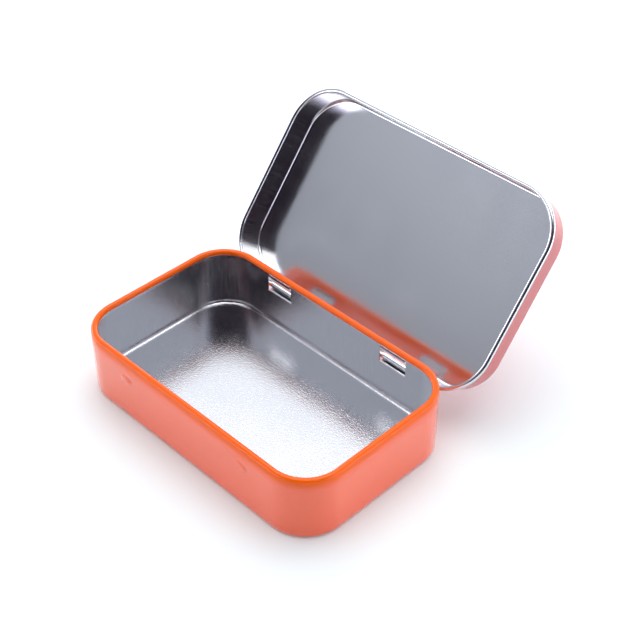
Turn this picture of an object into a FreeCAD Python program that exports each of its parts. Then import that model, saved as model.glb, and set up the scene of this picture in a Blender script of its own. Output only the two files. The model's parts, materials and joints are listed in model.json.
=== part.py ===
"""Hinged tin box: a drawn tray and a drawn lid of tinplate, hung on two curled tongues.

Millimetres, +Z up, +Y to the hinge side, origin under the middle of the tray. Both pieces
are modelled with the box shut, and the lid is then turned open about the hinge axis.
"""
import FreeCAD, Part
import math
import os

import Sketcher

V = FreeCAD.Vector

SIZES = [
    # the tray, to the outside of its wall and the top of its curled rim
    ("base_length", 92.5),
    ("base_width", 57.4),
    ("base_corner", 12.5),
    ("base_height", 21.1),
    ("plate", 0.28),
    ("foot_bend", 1.6),
    ("rim_curl", 1.9),
    ("rim_turn", 300.0),
    ("rim_neck", 0.25),
    ("neck_drop", 3.0),
    # the lid, with room round the tray and over its rim, and its own curled edge
    ("lid_gap", 0.45),
    ("lid_headroom", 0.15),
    ("swing_play", 0.15),
    ("lid_bend", 1.2),
    ("skirt_drop", 8.75),
    ("lid_curl", 1.4),
    ("lid_turn", 285.0),
    ("open_angle", 128.8),
    # the hinge: two tongues cut from the tray's wall and curled round the lid's edge
    ("hinge_spacing", 45.2),
    ("tongue_width", 9.2),
    ("tongue_cut", 0.25),
    ("tongue_bend", 0.3),
    ("tongue_turn", 205.0),
    ("window_height", 6.0),
    ("hinge_play", 0.1),
    ("axis_out", 0.05),
    ("axis_rise", 0.2),
    ("lip_root", 0.4),
    ("lip_reach", 0.5),
    ("lip_fall", 0.2),
    ("slot_cut", 0.4),
    ("slot_room", 1.2),
    # the two pips on the front wall that the shut lid springs over
    ("pip_spacing", 46.0),
    ("pip_level", 14.7),
    ("pip_length", 4.6),
    ("pip_tall", 3.0),
    ("pip_rise", 0.38),
]

PLACES = [
    # tray section: the wall, the foot bend's centre and the rim curl's centre
    ("wall_x", "sizes.base_length / 2"),
    ("wall_y", "sizes.base_width / 2"),
    ("foot_x", "wall_x - sizes.foot_bend"),
    ("foot_y", "wall_y - sizes.foot_bend"),
    ("foot_corner", "sizes.base_corner - sizes.foot_bend"),
    ("foot_inner", "sizes.foot_bend - sizes.plate"),
    ("rim_radius", "sizes.rim_curl / 2"),
    ("rim_inner", "rim_radius - sizes.plate"),
    ("rim_x", "wall_x - sizes.rim_neck - rim_radius"),
    ("rim_z", "sizes.base_height - rim_radius"),
    ("neck_z", "rim_z - sizes.neck_drop"),
    # the gap round the tray, wide enough for the turning skirt's edge to swing past the rim
    ("swing_height", "sizes.skirt_drop - rim_radius - sizes.lid_headroom - sizes.axis_rise"),
    ("swing_reach", "2 * wall_y + sizes.lid_gap + sizes.lid_curl / 2 + sizes.axis_out"
                    " - sizes.rim_neck - rim_radius"),
    ("swing_gap", "sqrt(swing_reach ^ 2 + swing_height ^ 2) - swing_reach"
                  " + sizes.swing_play - sizes.rim_neck"),
    ("skirt_gap", "max(sizes.lid_gap; swing_gap)"),
    # lid section, shut: the skirt's inner face, the bend's centre and the curl's centre
    ("skirt_x", "wall_x + skirt_gap"),
    ("skirt_y", "wall_y + skirt_gap"),
    ("skirt_corner", "sizes.base_corner + skirt_gap"),
    ("panel_z", "sizes.base_height + sizes.lid_headroom"),
    ("bend_inner", "sizes.lid_bend - sizes.plate"),
    ("bend_x", "skirt_x - bend_inner"),
    ("bend_y", "skirt_y - bend_inner"),
    ("bend_z", "panel_z - bend_inner"),
    ("bend_corner", "skirt_corner - bend_inner"),
    ("curl_radius", "sizes.lid_curl / 2"),
    ("curl_inner", "curl_radius - sizes.plate"),
    ("curl_x", "skirt_x + curl_radius"),
    ("curl_y", "skirt_y + curl_radius"),
    ("curl_z", "panel_z - sizes.skirt_drop"),
    # hinge axis, the hook round it, and the window and slot that the tongue needs
    ("axis_y", "curl_y + sizes.axis_out"),
    ("axis_z", "curl_z + sizes.axis_rise"),
    ("axis_off", "sqrt(sizes.axis_out ^ 2 + sizes.axis_rise ^ 2)"),
    ("hook_inner", "curl_radius + axis_off + sizes.hinge_play"),
    ("hook_outer", "hook_inner + sizes.plate"),
    ("hinge_x", "sizes.hinge_spacing / 2"),
    ("root_y", "wall_y + sizes.tongue_bend"),
    ("root_z", "axis_z - hook_outer - sizes.tongue_bend"),
    ("root_outer", "sizes.tongue_bend + sizes.plate"),
    ("window_width", "sizes.tongue_width + 2 * sizes.tongue_cut"),
    ("window_top", "root_z + sizes.window_height"),
    ("slot_width", "sizes.tongue_width + 2 * sizes.slot_cut"),
    ("slot_z", "curl_z + curl_radius"),
    ("slot_height", "axis_z + hook_outer + sizes.slot_room - slot_z"),
    ("lip_y", "wall_y - sizes.plate / 2"),
    # the pips: the radii of their dome lengthwise and upright, and how far it is turned
    ("pip_x", "sizes.pip_spacing / 2"),
    ("wall_inner_y", "wall_y - sizes.plate"),
    ("pip_bow", "(sizes.pip_length ^ 2 / 4 + sizes.pip_rise ^ 2) / (2 * sizes.pip_rise)"),
    ("pip_round", "(sizes.pip_tall ^ 2 / 4 + sizes.pip_rise ^ 2) / (2 * sizes.pip_rise)"),
    ("pip_depth", "pip_round - sizes.pip_rise"),
    ("pip_sweep", "2 * asin(sizes.pip_tall / (2 * pip_round))"),
    # which way the cut end of each curl points
    ("rim_cap", "sizes.rim_turn - 180"),
    ("curl_cap", "sizes.lid_turn"),
    ("hook_cap", "sizes.tongue_turn - 90"),
    # where turning the lid open about the hinge axis takes its origin
    ("turn_y", "axis_y - axis_y * cos(sizes.open_angle) - axis_z * sin(sizes.open_angle)"),
    ("turn_z", "axis_z + axis_y * sin(sizes.open_angle) - axis_z * cos(sizes.open_angle)"),
]


def make_sheets(doc):
    """Put the driving sizes in one spreadsheet and what follows from them in another."""
    sizes = doc.addObject("Spreadsheet::Sheet", "sizes")
    for row, (name, number) in enumerate(SIZES, start=1):
        sizes.set("A%d" % row, name)
        sizes.set("B%d" % row, str(number))
        sizes.setAlias("B%d" % row, name)
    doc.recompute()
    places = doc.addObject("Spreadsheet::Sheet", "places")
    for row, (name, formula) in enumerate(PLACES, start=1):
        places.set("A%d" % row, name)
        places.set("B%d" % row, "=" + formula.replace("open_angle)", "open_angle * 1 deg)"))
        places.setAlias("B%d" % row, name)
    doc.recompute()
    return sizes, places


class Draw:
    """Sketches and features of one body, with their sizes tied to the spreadsheets."""

    def __init__(self, doc, sheets, name):
        self.doc = doc
        self.sheets = sheets
        self.body = doc.addObject("PartDesign::Body", name)
        self.body.Label = name

    def sheet(self, name):
        """Find the spreadsheet that holds a named size."""
        return next(one for one in self.sheets if one.getCellFromAlias(name))

    def size(self, name):
        """Read one named size."""
        return float(self.sheet(name).get(name))

    def path(self, name):
        """Spell a named size as the expression that other objects use for it."""
        return "%s.%s" % (self.sheet(name).Name, name)

    def plane(self, role):
        """Find an origin plane of the body."""
        return next(one for one in self.body.Origin.OriginFeatures if one.Role == role)

    def sketch(self, name, role, offset=None):
        """Start a sketch on an origin plane, moved along its normal by a named size."""
        drawing = self.body.newObject("Sketcher::SketchObject", name)
        drawing.AttachmentSupport = (self.plane(role), [""])
        drawing.MapMode = "FlatFace"
        if offset:
            drawing.setExpression("AttachmentOffset.Base.z", self.path(offset))
        return drawing

    def tie(self, drawing, kind, *where, to):
        """Give a constraint its named size and keep it bound to the spreadsheet."""
        number = self.size(to)
        if kind == "Angle":
            number = math.radians(number)
        index = drawing.addConstraint(Sketcher.Constraint(kind, *where, number))
        unit = " * 1 deg" if kind == "Angle" else ""
        drawing.setExpression("Constraints[%d]" % index, self.path(to) + unit)

    def feature(self, kind, name, **properties):
        """Add a feature; a property given as text is bound to that named size."""
        made = self.body.newObject("PartDesign::" + kind, name)
        for key, given in properties.items():
            if isinstance(given, str) and given.islower():
                made.setExpression(key, self.path(given))
            else:
                setattr(made, key, given)
        self.doc.recompute()
        return made

    def mirror(self, name, originals):
        """Repeat features on the other side of the middle plane, left to right."""
        copy = self.body.newObject("PartDesign::Mirrored", name)
        copy.Originals = originals
        copy.MirrorPlane = (self.plane("YZ_Plane"), [""])
        self.body.Tip = copy
        self.doc.recompute()
        return copy


def arc(x, y, radius, start, end):
    """Make an arc of a circle, with its angles in degrees."""
    circle = Part.Circle(V(x, y, 0), V(0, 0, 1), radius)
    return Part.ArcOfCircle(circle, math.radians(start), math.radians(end))


def line(x0, y0, x1, y1):
    """Make a straight line between two points."""
    return Part.LineSegment(V(x0, y0, 0), V(x1, y1, 0))


def rounded_rectangle(draw, name, half_x, half_y, corner):
    """Sketch a rounded rectangle about the origin, its straight sides tied by name."""
    a, b, r = draw.size(half_x), draw.size(half_y), draw.size(corner)
    flat = draw.sketch(name, "XY_Plane")
    flat.addGeometry([
        line(a, r - b, a, b - r),
        arc(a - r, b - r, r, 0, 90),
        line(a - r, b, r - a, b),
        arc(r - a, b - r, r, 90, 180),
        line(-a, b - r, -a, r - b),
        arc(r - a, r - b, r, 180, 270),
        line(r - a, -b, a - r, -b),
        arc(a - r, r - b, r, 270, 360),
    ])
    for index in range(8):
        flat.addConstraint(Sketcher.Constraint("Tangent", index, 2, (index + 1) % 8, 1))
    for index in (0, 4):
        flat.addConstraint(Sketcher.Constraint("Vertical", index))
    for index in (2, 6):
        flat.addConstraint(Sketcher.Constraint("Horizontal", index))
    for index in (3, 5, 7):
        flat.addConstraint(Sketcher.Constraint("Equal", 1, index))
    flat.addConstraint(Sketcher.Constraint("Symmetric", 3, 3, 7, 3, -1, 1))
    draw.tie(flat, "DistanceX", -1, 1, 0, 1, to=half_x)
    draw.tie(flat, "DistanceY", -1, 1, 2, 1, to=half_y)
    draw.tie(flat, "Radius", 1, to=corner)
    return flat


def join(drawing, ends):
    """Make pairs of curve ends meet; end 1 is a curve's start, 2 its end, 3 its centre."""
    for pair in ends:
        drawing.addConstraint(Sketcher.Constraint("Coincident", *pair))


def level(drawing, kind, pairs):
    """Line up pairs of points, horizontally or vertically."""
    for pair in pairs:
        drawing.addConstraint(Sketcher.Constraint(kind, *pair))


def draw_tray_section(draw):
    """Sketch the tray's sheet in section: foot bend, wall, neck and inward curl."""
    size = draw.size
    plate = size("plate")
    rim_x, rim_z, rim = size("rim_x"), size("rim_z"), size("rim_radius")
    wall, foot_x, foot = size("wall_x"), size("foot_x"), size("foot_bend")
    neck_z, turn = size("neck_z"), size("rim_turn")
    cap = math.radians(turn)
    section = draw.sketch("tray_section", "XZ_Plane")
    section.addGeometry([
        arc(foot_x, foot, foot, -90, 0),
        line(wall, foot, wall, neck_z),
        line(wall, neck_z, rim_x + rim, rim_z),
        arc(rim_x, rim_z, rim, 0, turn),
        line(rim_x + rim * math.cos(cap), rim_z + rim * math.sin(cap),
             rim_x + (rim - plate) * math.cos(cap), rim_z + (rim - plate) * math.sin(cap)),
        arc(rim_x, rim_z, rim - plate, 0, turn),
        line(rim_x + rim - plate, rim_z, wall - plate, neck_z),
        line(wall - plate, neck_z, wall - plate, foot),
        arc(foot_x, foot, foot - plate, -90, 0),
        line(foot_x, plate, foot_x, 0),
    ])
    join(section, [(0, 2, 1, 1), (1, 2, 2, 1), (2, 2, 3, 1), (3, 2, 4, 1), (4, 2, 5, 2),
                   (5, 1, 6, 1), (6, 2, 7, 1), (7, 2, 8, 2), (8, 1, 9, 1), (9, 2, 0, 1),
                   (5, 3, 3, 3), (8, 3, 0, 3)])
    level(section, "Horizontal", [(0, 2, 0, 3), (8, 2, 8, 3), (3, 1, 3, 3), (5, 1, 5, 3),
                                  (1, 2, 6, 2)])
    level(section, "Vertical", [(0, 1, 0, 3), (8, 1, 8, 3), (1,), (7,)])
    section.addConstraint(Sketcher.Constraint("PointOnObject", 3, 3, 4))
    draw.tie(section, "DistanceX", -1, 1, 0, 3, to="foot_x")
    draw.tie(section, "DistanceY", -1, 1, 0, 3, to="foot_bend")
    draw.tie(section, "Radius", 0, to="foot_bend")
    draw.tie(section, "Radius", 8, to="foot_inner")
    draw.tie(section, "DistanceY", -1, 1, 1, 2, to="neck_z")
    draw.tie(section, "DistanceX", -1, 1, 3, 3, to="rim_x")
    draw.tie(section, "DistanceY", -1, 1, 3, 3, to="rim_z")
    draw.tie(section, "Radius", 3, to="rim_radius")
    draw.tie(section, "Radius", 5, to="rim_inner")
    draw.tie(section, "Angle", 4, to="rim_cap")
    return section


def draw_lid_section(draw):
    """Sketch the lid's sheet in section, shut: panel bend, skirt and outward curl."""
    size = draw.size
    plate = size("plate")
    skirt, bend_x, bend_z = size("skirt_x"), size("bend_x"), size("bend_z")
    outer, inner = size("lid_bend"), size("bend_inner")
    curl_x, curl_z, curl = size("curl_x"), size("curl_z"), size("curl_radius")
    turn = 180 + size("lid_turn")
    cap = math.radians(turn)
    section = draw.sketch("lid_section", "XZ_Plane")
    section.addGeometry([
        arc(bend_x, bend_z, outer, 0, 90),
        line(bend_x, bend_z + outer, bend_x, bend_z + inner),
        arc(bend_x, bend_z, inner, 0, 90),
        line(skirt, bend_z, skirt, curl_z),
        arc(curl_x, curl_z, curl, 180, turn),
        line(curl_x + curl * math.cos(cap), curl_z + curl * math.sin(cap),
             curl_x + (curl - plate) * math.cos(cap), curl_z + (curl - plate) * math.sin(cap)),
        arc(curl_x, curl_z, curl - plate, 180, turn),
        line(skirt + plate, curl_z, skirt + plate, bend_z),
    ])
    join(section, [(0, 2, 1, 1), (1, 2, 2, 2), (2, 1, 3, 1), (3, 2, 4, 1), (4, 2, 5, 1),
                   (5, 2, 6, 2), (6, 1, 7, 1), (7, 2, 0, 1), (2, 3, 0, 3), (6, 3, 4, 3)])
    level(section, "Horizontal", [(0, 1, 0, 3), (2, 1, 2, 3), (4, 1, 4, 3), (6, 1, 6, 3)])
    level(section, "Vertical", [(0, 2, 0, 3), (2, 2, 2, 3)])
    section.addConstraint(Sketcher.Constraint("PointOnObject", 4, 3, 5))
    draw.tie(section, "DistanceX", -1, 1, 0, 3, to="bend_x")
    draw.tie(section, "DistanceY", -1, 1, 0, 3, to="bend_z")
    draw.tie(section, "Radius", 0, to="lid_bend")
    draw.tie(section, "Radius", 2, to="bend_inner")
    draw.tie(section, "DistanceX", -1, 1, 4, 3, to="curl_x")
    draw.tie(section, "DistanceY", -1, 1, 4, 3, to="curl_z")
    draw.tie(section, "Radius", 4, to="curl_radius")
    draw.tie(section, "Radius", 6, to="curl_inner")
    draw.tie(section, "Angle", 5, to="curl_cap")
    return section


def draw_opening(draw, name, width, height, bottom):
    """Sketch an upright rectangle at the right-hand hinge, for a cut through a rear wall."""
    x, half = draw.size("hinge_x"), draw.size(width) / 2
    low = draw.size(bottom)
    high = low + draw.size(height)
    opening = draw.sketch(name, "XZ_Plane")
    opening.addGeometry([
        line(x - half, low, x + half, low),
        line(x + half, low, x + half, high),
        line(x + half, high, x - half, high),
        line(x - half, high, x - half, low),
    ])
    middle = opening.addGeometry(line(x, low, x, high), True)
    join(opening, [(0, 2, 1, 1), (1, 2, 2, 1), (2, 2, 3, 1), (3, 2, 0, 1)])
    level(opening, "Horizontal", [(0,), (2,)])
    level(opening, "Vertical", [(1,), (3,), (middle,)])
    opening.addConstraint(Sketcher.Constraint("Symmetric", 0, 1, 0, 2, middle, 1))
    opening.addConstraint(Sketcher.Constraint("PointOnObject", middle, 2, 2))
    draw.tie(opening, "DistanceX", -1, 1, middle, 1, to="hinge_x")
    draw.tie(opening, "DistanceY", -1, 1, middle, 1, to=bottom)
    draw.tie(opening, "DistanceX", 0, 1, 0, 2, to=width)
    draw.tie(opening, "DistanceY", 1, 1, 1, 2, to=height)
    return opening


def draw_tongue(draw):
    """Sketch a tongue in side view: out over the window's sill and up round the lid's curl."""
    size = draw.size
    plate, wall = size("plate"), size("wall_y")
    root_y, root_z, bend = size("root_y"), size("root_z"), size("tongue_bend")
    y, z, inner, outer = size("axis_y"), size("axis_z"), size("hook_inner"), size("hook_outer")
    end = size("hook_cap")
    tip = math.radians(end)
    side = draw.sketch("tongue_side", "YZ_Plane", offset="hinge_x")
    side.addGeometry([
        arc(root_y, root_z, bend + plate, 90, 180),
        line(root_y, root_z + bend + plate, y, z - inner),
        arc(y, z, inner, -90, end),
        line(y + inner * math.cos(tip), z + inner * math.sin(tip),
             y + outer * math.cos(tip), z + outer * math.sin(tip)),
        arc(y, z, outer, -90, end),
        line(y, z - outer, root_y, root_z + bend),
        arc(root_y, root_z, bend, 90, 180),
        line(wall, root_z, wall - plate, root_z),
    ])
    join(side, [(0, 1, 1, 1), (1, 2, 2, 1), (2, 2, 3, 1), (3, 2, 4, 2), (4, 1, 5, 1),
                (5, 2, 6, 1), (6, 2, 7, 1), (7, 2, 0, 2), (4, 3, 2, 3), (6, 3, 0, 3)])
    level(side, "Horizontal", [(0, 2, 0, 3), (6, 2, 6, 3)])
    level(side, "Vertical", [(0, 1, 0, 3), (6, 1, 6, 3), (2, 1, 2, 3), (4, 1, 4, 3)])
    side.addConstraint(Sketcher.Constraint("PointOnObject", 2, 3, 3))
    draw.tie(side, "DistanceX", -1, 1, 0, 3, to="root_y")
    draw.tie(side, "DistanceY", -1, 1, 0, 3, to="root_z")
    draw.tie(side, "Radius", 6, to="tongue_bend")
    draw.tie(side, "Radius", 0, to="root_outer")
    draw.tie(side, "DistanceX", -1, 1, 2, 3, to="axis_y")
    draw.tie(side, "DistanceY", -1, 1, 2, 3, to="axis_z")
    draw.tie(side, "Radius", 2, to="hook_inner")
    draw.tie(side, "Radius", 4, to="hook_outer")
    draw.tie(side, "Angle", 3, to="hook_cap")
    return side


def draw_lip(draw):
    """Sketch the lip in side view: the window's top edge, turned down into the tray."""
    size = draw.size
    y, top = size("lip_y"), size("window_top")
    root, reach, fall = size("lip_root"), size("lip_reach"), size("lip_fall")
    side = draw.sketch("lip_side", "YZ_Plane", offset="hinge_x")
    side.addGeometry([
        line(y, top, y, top + root),
        line(y, top + root, y - reach, top + root - fall),
        line(y - reach, top + root - fall, y - reach, top - fall),
        line(y - reach, top - fall, y, top),
    ])
    join(side, [(0, 2, 1, 1), (1, 2, 2, 1), (2, 2, 3, 1), (3, 2, 0, 1)])
    level(side, "Vertical", [(0,), (2,)])
    side.addConstraint(Sketcher.Constraint("Parallel", 1, 3))
    draw.tie(side, "DistanceX", -1, 1, 0, 1, to="lip_y")
    draw.tie(side, "DistanceY", -1, 1, 0, 1, to="window_top")
    draw.tie(side, "DistanceY", 0, 1, 0, 2, to="lip_root")
    draw.tie(side, "DistanceX", 1, 2, 1, 1, to="lip_reach")
    draw.tie(side, "DistanceY", 1, 2, 1, 1, to="lip_fall")
    return side


def drawn_shell(draw, name, outline, section, floor):
    """Sweep a sheet section round its outline, then close the flat inside it with plate."""
    draw.feature("AdditivePipe", name + "_wall", Profile=section, Spine=(outline, []))
    return draw.feature("Pad", name + "_flat", Profile=floor, Length="plate")


def cut_rear(draw, name, opening):
    """Cut an opening through the rear wall only, from the middle of the box outwards."""
    before = draw.body.Shape.Solids[0].CenterOfMass.y
    cut = draw.feature("Pocket", name, Profile=opening, Type="ThroughAll")
    if not draw.body.Shape.Solids[0].CenterOfMass.y < before:
        raise RuntimeError(name + " takes nothing off the rear wall")
    return cut


def draw_pip(draw, name, depth):
    """Sketch a pip from above: its bow over the wall's face, and the axis it turns about."""
    x, y, half = draw.size("pip_x"), -draw.size(depth), draw.size("pip_length") / 2
    bow, axis_y = draw.size("pip_bow"), y + draw.size("pip_depth")
    spread = math.degrees(math.asin(half / bow))
    plan = draw.sketch(name, "XY_Plane", offset="pip_level")
    plan.addGeometry([
        line(x - half, y, x + half, y),
        arc(x, y + math.sqrt(bow ** 2 - half ** 2), bow, 270 - spread, 270 + spread),
    ])
    axis = plan.addGeometry(line(x - half, axis_y, x + half, axis_y), True)
    join(plan, [(0, 1, 1, 1), (0, 2, 1, 2)])
    level(plan, "Horizontal", [(0,), (axis,)])
    level(plan, "Vertical", [(0, 1, axis, 1), (0, 2, axis, 2)])
    draw.tie(plan, "DistanceX", 0, 1, 0, 2, to="pip_length")
    draw.tie(plan, "DistanceX", -1, 1, 1, 3, to="pip_x")
    draw.tie(plan, "Radius", 1, to="pip_bow")
    draw.tie(plan, "DistanceY", 0, 1, -1, 1, to=depth)
    draw.tie(plan, "DistanceY", 0, 1, axis, 1, to="pip_depth")
    return plan


def press_pip(draw):
    """Press one pip out of the front wall: a low oval dome outside, its hollow inside."""
    for kind, name, depth in (("Revolution", "pip", "wall_y"), ("Groove", "dent", "wall_inner_y")):
        plan = draw_pip(draw, name + "_plan", depth)
        yield draw.feature(kind, name, Profile=plan, ReferenceAxis=(plan, ["Axis0"]),
                           Midplane=True, Angle="pip_sweep")


def make_base(doc, sheets):
    """Build the tray with its windows, lips, hinge tongues and pips."""
    draw = Draw(doc, sheets, "tin_base")
    outline = rounded_rectangle(draw, "tray_outline", "wall_x", "wall_y", "base_corner")
    floor = rounded_rectangle(draw, "tray_floor", "foot_x", "foot_y", "foot_corner")
    drawn_shell(draw, "tray", outline, draw_tray_section(draw), floor)
    window = draw_opening(draw, "window_outline", "window_width", "window_height", "root_z")
    hinge = [cut_rear(draw, "window", window)]
    for name, side in (("tongue", draw_tongue(draw)), ("lip", draw_lip(draw))):
        hinge.append(draw.feature("Pad", name, Profile=side, Length="tongue_width", Midplane=True))
    draw.mirror("both_hinges", hinge)
    draw.mirror("both_pips", list(press_pip(draw)))
    return draw.body


def make_lid(doc, sheets):
    """Build the lid shut, with the slots its hinge tongues need, and turn it open."""
    draw = Draw(doc, sheets, "tin_lid")
    outline = rounded_rectangle(draw, "skirt_outline", "skirt_x", "skirt_y", "skirt_corner")
    panel = rounded_rectangle(draw, "panel_outline", "bend_x", "bend_y", "bend_corner")
    panel.setExpression("AttachmentOffset.Base.z", draw.path("panel_z"))
    drawn_shell(draw, "lid", outline, draw_lid_section(draw), panel)
    slot = draw_opening(draw, "slot_outline", "slot_width", "slot_height", "slot_z")
    draw.mirror("both_slots", [cut_rear(draw, "slot", slot)])
    lid = draw.body
    lid.Placement = FreeCAD.Placement(V(0, 0, 0), FreeCAD.Rotation(V(1, 0, 0), -1))
    lid.setExpression("Placement.Rotation.Angle", "-sizes.open_angle * 1 deg")
    lid.setExpression("Placement.Base.y", "places.turn_y")
    lid.setExpression("Placement.Base.z", "places.turn_z")
    return lid


def main():
    """Build the document, test every object, and write one STEP file for each piece."""
    doc = FreeCAD.newDocument("hinged_tin_box")
    sheets = make_sheets(doc)
    pieces = [make_base(doc, sheets), make_lid(doc, sheets)]
    doc.recompute()
    for made in doc.Objects:
        if "Invalid" in made.State or "Error" in made.State:
            raise RuntimeError("%s failed: %s" % (made.Name, made.State))
    os.makedirs("parts", exist_ok=True)
    for piece in pieces:
        shape = piece.Shape
        if shape.isNull() or not shape.isValid() or len(shape.Solids) != 1:
            raise RuntimeError("%s is not one valid solid" % piece.Label)
        shape.exportStep("parts/%s.step" % piece.Label)
        print(piece.Label, round(shape.Volume, 1), shape.BoundBox)


main()
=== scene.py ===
"""The looks of a hinged tin box: a tray and a lid of tinplate, enamelled on the outside."""

import json
from math import radians

import bmesh
import bpy
from mathutils import Matrix, Vector

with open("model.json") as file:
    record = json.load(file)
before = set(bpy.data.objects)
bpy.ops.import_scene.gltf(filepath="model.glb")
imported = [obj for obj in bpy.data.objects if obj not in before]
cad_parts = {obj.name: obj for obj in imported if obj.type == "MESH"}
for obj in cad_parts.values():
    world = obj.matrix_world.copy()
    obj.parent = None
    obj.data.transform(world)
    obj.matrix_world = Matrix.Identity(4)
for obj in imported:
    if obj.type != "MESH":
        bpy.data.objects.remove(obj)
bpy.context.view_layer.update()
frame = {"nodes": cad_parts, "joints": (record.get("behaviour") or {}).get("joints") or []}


# ---------------------------------------------------------------------------------------
# The table: a plain sheet of matt white paper under the box, wide enough to be the background.
# It keeps the box's soft shadow. Over it lies a painted glow, seen by the camera and in
# reflections, which is weak beside the box and grows away from it. The far paper reads as
# white, and the paper beside the box stays darker as painted shade. A faint blue-green tint
# in the paper offsets the pink light that the enamel throws on it.

PAPER = "#E4EFEF"
PAPER_HALF = 3.0
# Strength of the painted glow: weak beside the box, which leaves painted shade there, and full far
# off.
PAPER_PAINTED_GLOW = (0.14, 0.75)  # beside the box, far from it
PAINTED_GLOW_REACH = (0.06, 0.45)


def linear(colour):
    """Turn an sRGB hex colour to the linear numbers that a shader wants."""
    parts = [int(colour[at:at + 2], 16) / 255 for at in (1, 3, 5)]
    return [one / 12.92 if one <= 0.04045 else ((one + 0.055) / 1.055) ** 2.4 for one in parts] + [1]


def node(tree, kind, *inputs, **settings):
    """Add one node and return its outputs: an input is another node's output or a value."""
    made = tree.nodes.new("ShaderNode" + kind)
    for name in [name for name in settings if hasattr(made, name)]:
        setattr(made, name, settings.pop(name))
    for where, given in [*enumerate(inputs), *settings.items()]:
        socket = made.inputs[where.replace("_", " ") if isinstance(where, str) else where]
        if isinstance(given, bpy.types.NodeSocket):
            tree.links.new(given, socket)
        else:
            socket.default_value = given
    return made.outputs


def empty_tree(owner):
    """Clear the nodes that a new material or world comes with."""
    owner.use_nodes = True
    owner.node_tree.nodes.clear()
    return owner.node_tree


paper = bpy.data.materials.new("matt_white_paper")
tree = empty_tree(paper)
# Painted glow on the paper, for camera rays and reflections. It grows with the distance from the
# box, so the paper beside the box stays darker as painted shade.
rays = node(tree, "LightPath")
shown = node(tree, "Math", rays["Is Camera Ray"], rays["Is Glossy Ray"], operation="MAXIMUM")[0]
shown = node(tree, "Math", shown, rays["Is Transmission Ray"], operation="MAXIMUM")[0]
place = node(tree, "TexCoord")["Object"]
away = node(tree, "VectorMath", place, operation="LENGTH")["Value"]
painted_glow = node(tree, "MapRange", away, *PAINTED_GLOW_REACH, *PAPER_PAINTED_GLOW, interpolation_type="SMOOTHSTEP")[0]
painted_glow = node(tree, "Math", shown, painted_glow, operation="MULTIPLY")[0]
matt = node(tree, "BsdfDiffuse", Color=linear(PAPER))[0]
glow = node(tree, "Emission", Strength=painted_glow)[0]
node(tree, "OutputMaterial", node(tree, "AddShader", matt, glow)[0])

sheet = bmesh.new()
bmesh.ops.create_grid(sheet, x_segments=1, y_segments=1, size=PAPER_HALF)
table = bpy.data.objects.new("table", bpy.data.meshes.new("table"))
sheet.to_mesh(table.data)
sheet.free()
table.data.materials.append(paper)
bpy.context.scene.collection.objects.link(table)


# ---------------------------------------------------------------------------------------
# The studio: pale walls, which are bright low down all round, and soft boxes overhead and
# behind to the left. Whoever stands in front to the right is a dark patch, which the bare
# tinplate mirrors. Heights are the upward part of a direction, from 0 at the horizon to 1.

ROOM = "#E6EBF6"
FIGURE = "#A08CA6"
ROOM_LEVEL = (0.48, 0.80)  # below and above the rise
ROOM_RISE = (0.42, 0.57)
LOW_LEVEL = 7.2
LOW_EDGE = (0.25, 0.08)  # where the low brightness begins and is full
FIGURE_WAY = (0.523, -0.644, 0.558)
FIGURE_LEVEL = 0.09
FIGURE_EDGE = (0.50, 0.82)  # cosines of the angles at which the patch begins and is full
SOFT_BOXES = {
    # name: place (m), width (m), power (W)
    "overhead_box": ((-0.10, 0.15, 1.20), 1.3, 13.0),
    "rear_box": ((-1.05, 1.08, 0.95), 1.3, 3.2),
}

studio = bpy.data.worlds.new("studio")
bpy.context.scene.world = studio
tree = empty_tree(studio)
way = node(tree, "TexCoord")["Generated"]
facing = node(tree, "VectorMath", way, FIGURE_WAY, operation="DOT_PRODUCT")["Value"]
height = node(tree, "SeparateXYZ", way)["Z"]
high = node(tree, "MapRange", height, *ROOM_RISE, *ROOM_LEVEL, interpolation_type="SMOOTHSTEP")[0]
low = node(tree, "MapRange", height, *LOW_EDGE, 0.0, 1.0, interpolation_type="SMOOTHSTEP")[0]
level = node(tree, "Mix", low, A=high, B=LOW_LEVEL)[0]
dark = node(tree, "MapRange", facing, *FIGURE_EDGE, 0.0, 1.0, interpolation_type="SMOOTHSTEP")[0]
level = node(tree, "Mix", dark, A=level, B=FIGURE_LEVEL)[0]
tint = node(tree, "MixRGB", dark, linear(ROOM), linear(FIGURE))[0]
room = node(tree, "Background", tint, level)[0]
white = node(tree, "Background", linear("#FFFFFF"), 1.0)[0]
rays = node(tree, "LightPath")
node(tree, "OutputWorld", node(tree, "MixShader", rays["Is Camera Ray"], room, white)[0])

for name, (place, width, power) in SOFT_BOXES.items():
    lamp = bpy.data.lights.new(name, "AREA")
    lamp.size = width
    lamp.energy = power
    stand = bpy.data.objects.new(name, lamp)
    stand.location = place
    stand.rotation_euler = Vector(place).to_track_quat("Z", "Y").to_euler()
    bpy.context.scene.collection.objects.link(stand)


# ---------------------------------------------------------------------------------------
# The camera looks down past the front right corner into the open box, through a long lens.
# Its shift places the box in the frame, and its angles are in degrees.

CAMERA_PLACE = (0.19313, -0.17235, 0.24740)
CAMERA_TURN = 44.16
CAMERA_TILT = 42.06
CAMERA_ROLL = 0.71
CAMERA_LENS = 71.3
CAMERA_SHIFT = (-0.0138, 0.0808)

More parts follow.
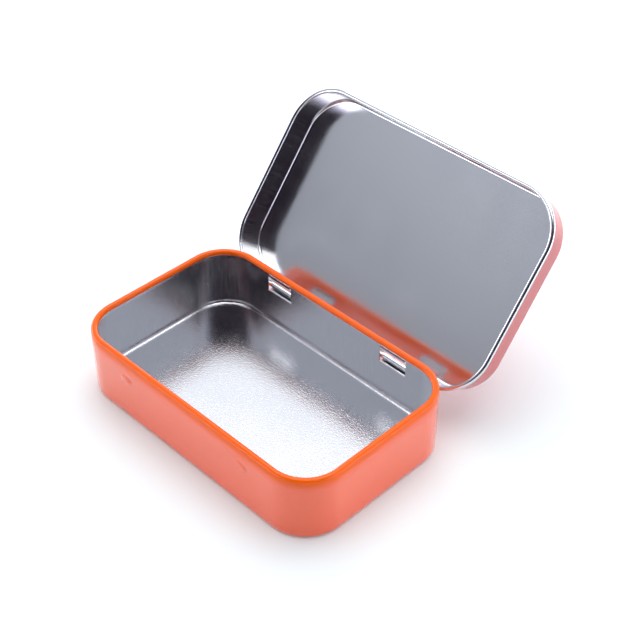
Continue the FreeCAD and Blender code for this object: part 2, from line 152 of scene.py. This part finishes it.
camera = bpy.data.objects.new("camera", bpy.data.cameras.new("camera"))
camera.data.lens = CAMERA_LENS
camera.data.shift_x, camera.data.shift_y = CAMERA_SHIFT
camera.data.clip_start = 0.01
camera.matrix_world = (Matrix.Translation(CAMERA_PLACE)
                       @ Matrix.Rotation(radians(CAMERA_TURN), 4, "Z")
                       @ Matrix.Rotation(radians(90 - CAMERA_TILT), 4, "X")
                       @ Matrix.Rotation(radians(CAMERA_ROLL), 4, "Z"))
bpy.context.scene.collection.objects.link(camera)
bpy.context.scene.camera = camera
bpy.context.scene.view_settings.view_transform = "Standard"


# ---------------------------------------------------------------------------------------
# The tray: one sheet of tinplate, roller coated on one side with coral enamel and a clear
# varnish, then drawn, so that the outside and the curled rim are enamel and the inside is
# bare tin. Towards the rim the varnish thins and the enamel warms to orange.

MM = 0.001
PLATE = 0.28 * MM
TRAY_HALF = (46.25 * MM, 28.7 * MM)
TRAY_CORNER = 12.5 * MM
FOOT_BEND = 1.6 * MM
PIP_AT = (23.0 * MM, 0, 14.7 * MM)
PIP_SHAPE = (1 / (2.3 * MM), 0, 1 / (1.5 * MM))  # one over its half length and half height
PIP_RISE = 0.38 * MM
NECK = 0.25 * MM
NECK_Z = (17.15 * MM, 20.15 * MM)
RIM_FROM = 19.5 * MM
RIM_FADE = 18.0 * MM
TONGUE_X = 22.6 * MM
TONGUE_HALF_WIDTH = 4.7 * MM
TONGUE_Z = 14.35 * MM
TONGUE_HALF_HEIGHT = 3.25 * MM
HOOK_MIDDLE = 1.15 * MM
SILL_CLEAR = 0.35 * MM
TRAY_GRIT = 0.045 * MM

CORAL = "#FF5E2C"
RIM_ORANGE = "#FF6400"
RIM_VARNISH = 0.15
TIN = "#D6D7DB"

GRAIN = 0.42 * MM
CLOUD = 14 * MM
CLOUD_SPREAD = (0.35, 0.65)  # the noise's values from bright to dull
CLOUD_DULL = (0.05, 0.11)  # the roughness at those two
STREAK = 0.5 * MM
STREAK_STRETCH = 0.07  # how slowly the streaks change up the walls
STREAK_DULL = 0.18
DUST_APART = 6 * MM
DUST_RADIUS = 0.168 * MM
ENAMEL_DULL = 0.24


def sheet_depth(tree, place, half, corner, bend, level, side):
    """Give how far a point lies out through a drawn sheet, from the centre of its bend."""
    inset = [half[0] - corner, half[1] - corner, 0]
    flat = node(tree, "VectorMath", place, (1, 1, 0), operation="MULTIPLY")[0]
    past = node(tree, "VectorMath", flat, operation="ABSOLUTE")[0]
    past = node(tree, "VectorMath", past, inset, operation="SUBTRACT")[0]
    past = node(tree, "VectorMath", past, (0, 0, 0), operation="MAXIMUM")[0]
    reach = node(tree, "VectorMath", past, operation="LENGTH")["Value"]
    outward = node(tree, "Math", reach, bend - corner, operation="ADD")[0]
    outward = node(tree, "Math", outward, 0.0, operation="MAXIMUM")[0]
    height = node(tree, "SeparateXYZ", place)["Z"]
    upward = node(tree, "Math", height, side, -side * level, operation="MULTIPLY_ADD")[0]
    upward = node(tree, "Math", upward, 0.0, operation="MAXIMUM")[0]
    both = node(tree, "CombineXYZ", outward, upward, 0.0)[0]
    return node(tree, "VectorMath", both, operation="LENGTH")["Value"]


def tinplate(tree, place, painted, enamel, varnish, grit):
    """Shade a sheet of tinplate: varnished enamel where painted is 1, bare satin tin where 0."""
    # The rolled grain of the tin glitters where a bright mirror image ends. The real one is too
    # fine to show, and is drawn as coarse as it needs to be.
    grain = node(tree, "TexNoise", place, Scale=1 / GRAIN, Detail=1.0, Roughness=0.6)[0]

    # Handling dulls the tin in soft clouds, and drawing leaves fine streaks up its walls,
    # which break up what they mirror.
    cloud = node(tree, "TexNoise", place, Scale=1 / CLOUD, Detail=3.0)[0]
    dull = node(tree, "MapRange", cloud, *CLOUD_SPREAD, *CLOUD_DULL)[0]
    drawn = node(tree, "VectorMath", place, (1, 1, STREAK_STRETCH), operation="MULTIPLY")[0]
    streak = node(tree, "TexNoise", drawn, Scale=1 / STREAK, Detail=2.0)[0]
    dull = node(tree, "Math", streak, STREAK_DULL, dull, operation="MULTIPLY_ADD")[0]

    # A few specks of dust lie on the tin as matt dots.
    spot = node(tree, "TexVoronoi", place, Scale=1 / DUST_APART)["Distance"]
    dust = node(tree, "Math", spot, DUST_RADIUS / DUST_APART, operation="LESS_THAN")[0]
    dull = node(tree, "Math", dust, dull, operation="MAXIMUM")[0]

    # The varnish puts a pale sheen over the enamel's full colour.
    colour = node(tree, "MixRGB", painted, linear(TIN), enamel)[0]
    metal = node(tree, "Math", 1.0, painted, operation="SUBTRACT")[0]
    rough = node(tree, "Mix", painted, A=dull, B=ENAMEL_DULL)[0]
    normal = node(tree, "Bump", Strength=metal, Distance=grit, Height=grain)[0]
    return node(tree, "BsdfPrincipled", Base_Color=colour, Metallic=metal, Roughness=rough,
                Normal=normal, Specular_IOR_Level=0.2, Coat_Weight=varnish,
                Coat_Roughness=0.07, Coat_IOR=1.65)[0]


coated = bpy.data.materials.new("coral_enamelled_tinplate")
tree = empty_tree(coated)
place = node(tree, "TexCoord")["Object"]
x, y, z = node(tree, "SeparateXYZ", place)

# The outer half of the sheet is enamel. At the neck the sheet leans in, and each pip of the
# front wall carries it out in a shallow dome.
depth = sheet_depth(tree, place, TRAY_HALF, TRAY_CORNER, FOOT_BEND, FOOT_BEND, -1)
middle = FOOT_BEND - PLATE / 2
middle = node(tree, "MapRange", z, *NECK_Z, middle, middle - NECK)[0]
mirrored = node(tree, "VectorMath", place, operation="ABSOLUTE")[0]
from_pip = node(tree, "VectorMath", mirrored, PIP_AT, operation="SUBTRACT")[0]
from_pip = node(tree, "VectorMath", from_pip, PIP_SHAPE, operation="MULTIPLY")[0]
dome = node(tree, "VectorMath", from_pip, from_pip, operation="DOT_PRODUCT")["Value"]
dome = node(tree, "Math", dome, -PIP_RISE, PIP_RISE, operation="MULTIPLY_ADD")[0]
dome = node(tree, "Math", dome, 0.0, operation="MAXIMUM")[0]
front = node(tree, "Math", y, 0.0, operation="LESS_THAN")[0]
middle = node(tree, "Math", dome, front, middle, operation="MULTIPLY_ADD")[0]
outer_face = node(tree, "Math", depth, middle, operation="GREATER_THAN")[0]
rim = node(tree, "Math", z, RIM_FROM, operation="GREATER_THAN")[0]
sheet_paint = node(tree, "Math", outer_face, rim, operation="MAXIMUM")[0]

# The tongues are bent out of the sheet round the hinge's axis. Only the far side of the hook
# is enamel, and what lies nearer the window is bare.
hinge = frame["joints"][0]
hook = [0, hinge["pos_m"][1], hinge["pos_m"][2]]
aside = node(tree, "Math", x, operation="ABSOLUTE")[0]
aside = node(tree, "Math", aside, TONGUE_X, TONGUE_HALF_WIDTH, operation="COMPARE")[0]
level = node(tree, "Math", z, TONGUE_Z, TONGUE_HALF_HEIGHT, operation="COMPARE")[0]
behind = node(tree, "Math", y, 0.0, operation="GREATER_THAN")[0]
in_tongue = node(tree, "Math", aside, level, operation="MULTIPLY")[0]
in_tongue = node(tree, "Math", in_tongue, behind, operation="MULTIPLY")[0]
from_axis = node(tree, "VectorMath", place, hook, operation="SUBTRACT")[0]
from_axis = node(tree, "VectorMath", from_axis, (0, 1, 1), operation="MULTIPLY")[0]
radius = node(tree, "VectorMath", from_axis, operation="LENGTH")["Value"]
hook_back = node(tree, "Math", radius, HOOK_MIDDLE, operation="GREATER_THAN")[0]
outside = node(tree, "Math", y, hook[1] + SILL_CLEAR, operation="GREATER_THAN")[0]
tongue_paint = node(tree, "Math", hook_back, outside, operation="MULTIPLY")[0]
painted = node(tree, "Mix", in_tongue, A=sheet_paint, B=tongue_paint)[0]

toward_rim = node(tree, "MapRange", z, RIM_FADE, RIM_FROM, 0.0, 1.0)[0]
enamel = node(tree, "MixRGB", toward_rim, linear(CORAL), linear(RIM_ORANGE))[0]
varnish = node(tree, "MapRange", z, RIM_FADE, RIM_FROM, 1.0, RIM_VARNISH)[0]
varnish = node(tree, "Math", varnish, painted, operation="MULTIPLY")[0]
node(tree, "OutputMaterial", tinplate(tree, place, painted, enamel, varnish, TRAY_GRIT))

tray = frame["nodes"]["tin_base"]
tray.data.materials.clear()
tray.data.materials.append(coated)


# ---------------------------------------------------------------------------------------
# The lid: one sheet of tinplate, drawn like the tray, with a pinker coat outside that stops
# short of its curled edge, and bare inside. The edge turns in the tray's tongues. What is
# coated is laid out as if the lid were shut.

SKIRT_HALF = (46.7 * MM, 29.15 * MM)
SKIRT_CORNER = 12.95 * MM
PANEL_Z = 21.25 * MM
PANEL_BEND = 0.92 * MM
COAT_FROM = 13.7 * MM
LID_GRIT = 0.003 * MM
LID_PINK = "#CF4A4C"

printed = bpy.data.materials.new("pink_coated_tinplate")
tree = empty_tree(printed)
shutting = Matrix.Rotation(radians(hinge["range_deg"][1]), 3, "X")
pivot = Vector(hook)
place = node(tree, "TexCoord")["Object"]
place = node(tree, "Mapping", place, pivot - shutting @ pivot, shutting.to_euler())[0]
depth = sheet_depth(tree, place, SKIRT_HALF, SKIRT_CORNER, PANEL_BEND, PANEL_Z - PANEL_BEND, 1)
outer_face = node(tree, "Math", depth, PANEL_BEND + PLATE / 2, operation="GREATER_THAN")[0]
z = node(tree, "SeparateXYZ", place)["Z"]
coated_part = node(tree, "Math", z, COAT_FROM, operation="GREATER_THAN")[0]
painted = node(tree, "Math", outer_face, coated_part, operation="MULTIPLY")[0]
finish = tinplate(tree, place, painted, linear(LID_PINK), painted, LID_GRIT)
node(tree, "OutputMaterial", finish)

lid = frame["nodes"]["tin_lid"]
lid.data.materials.clear()
lid.data.materials.append(printed)
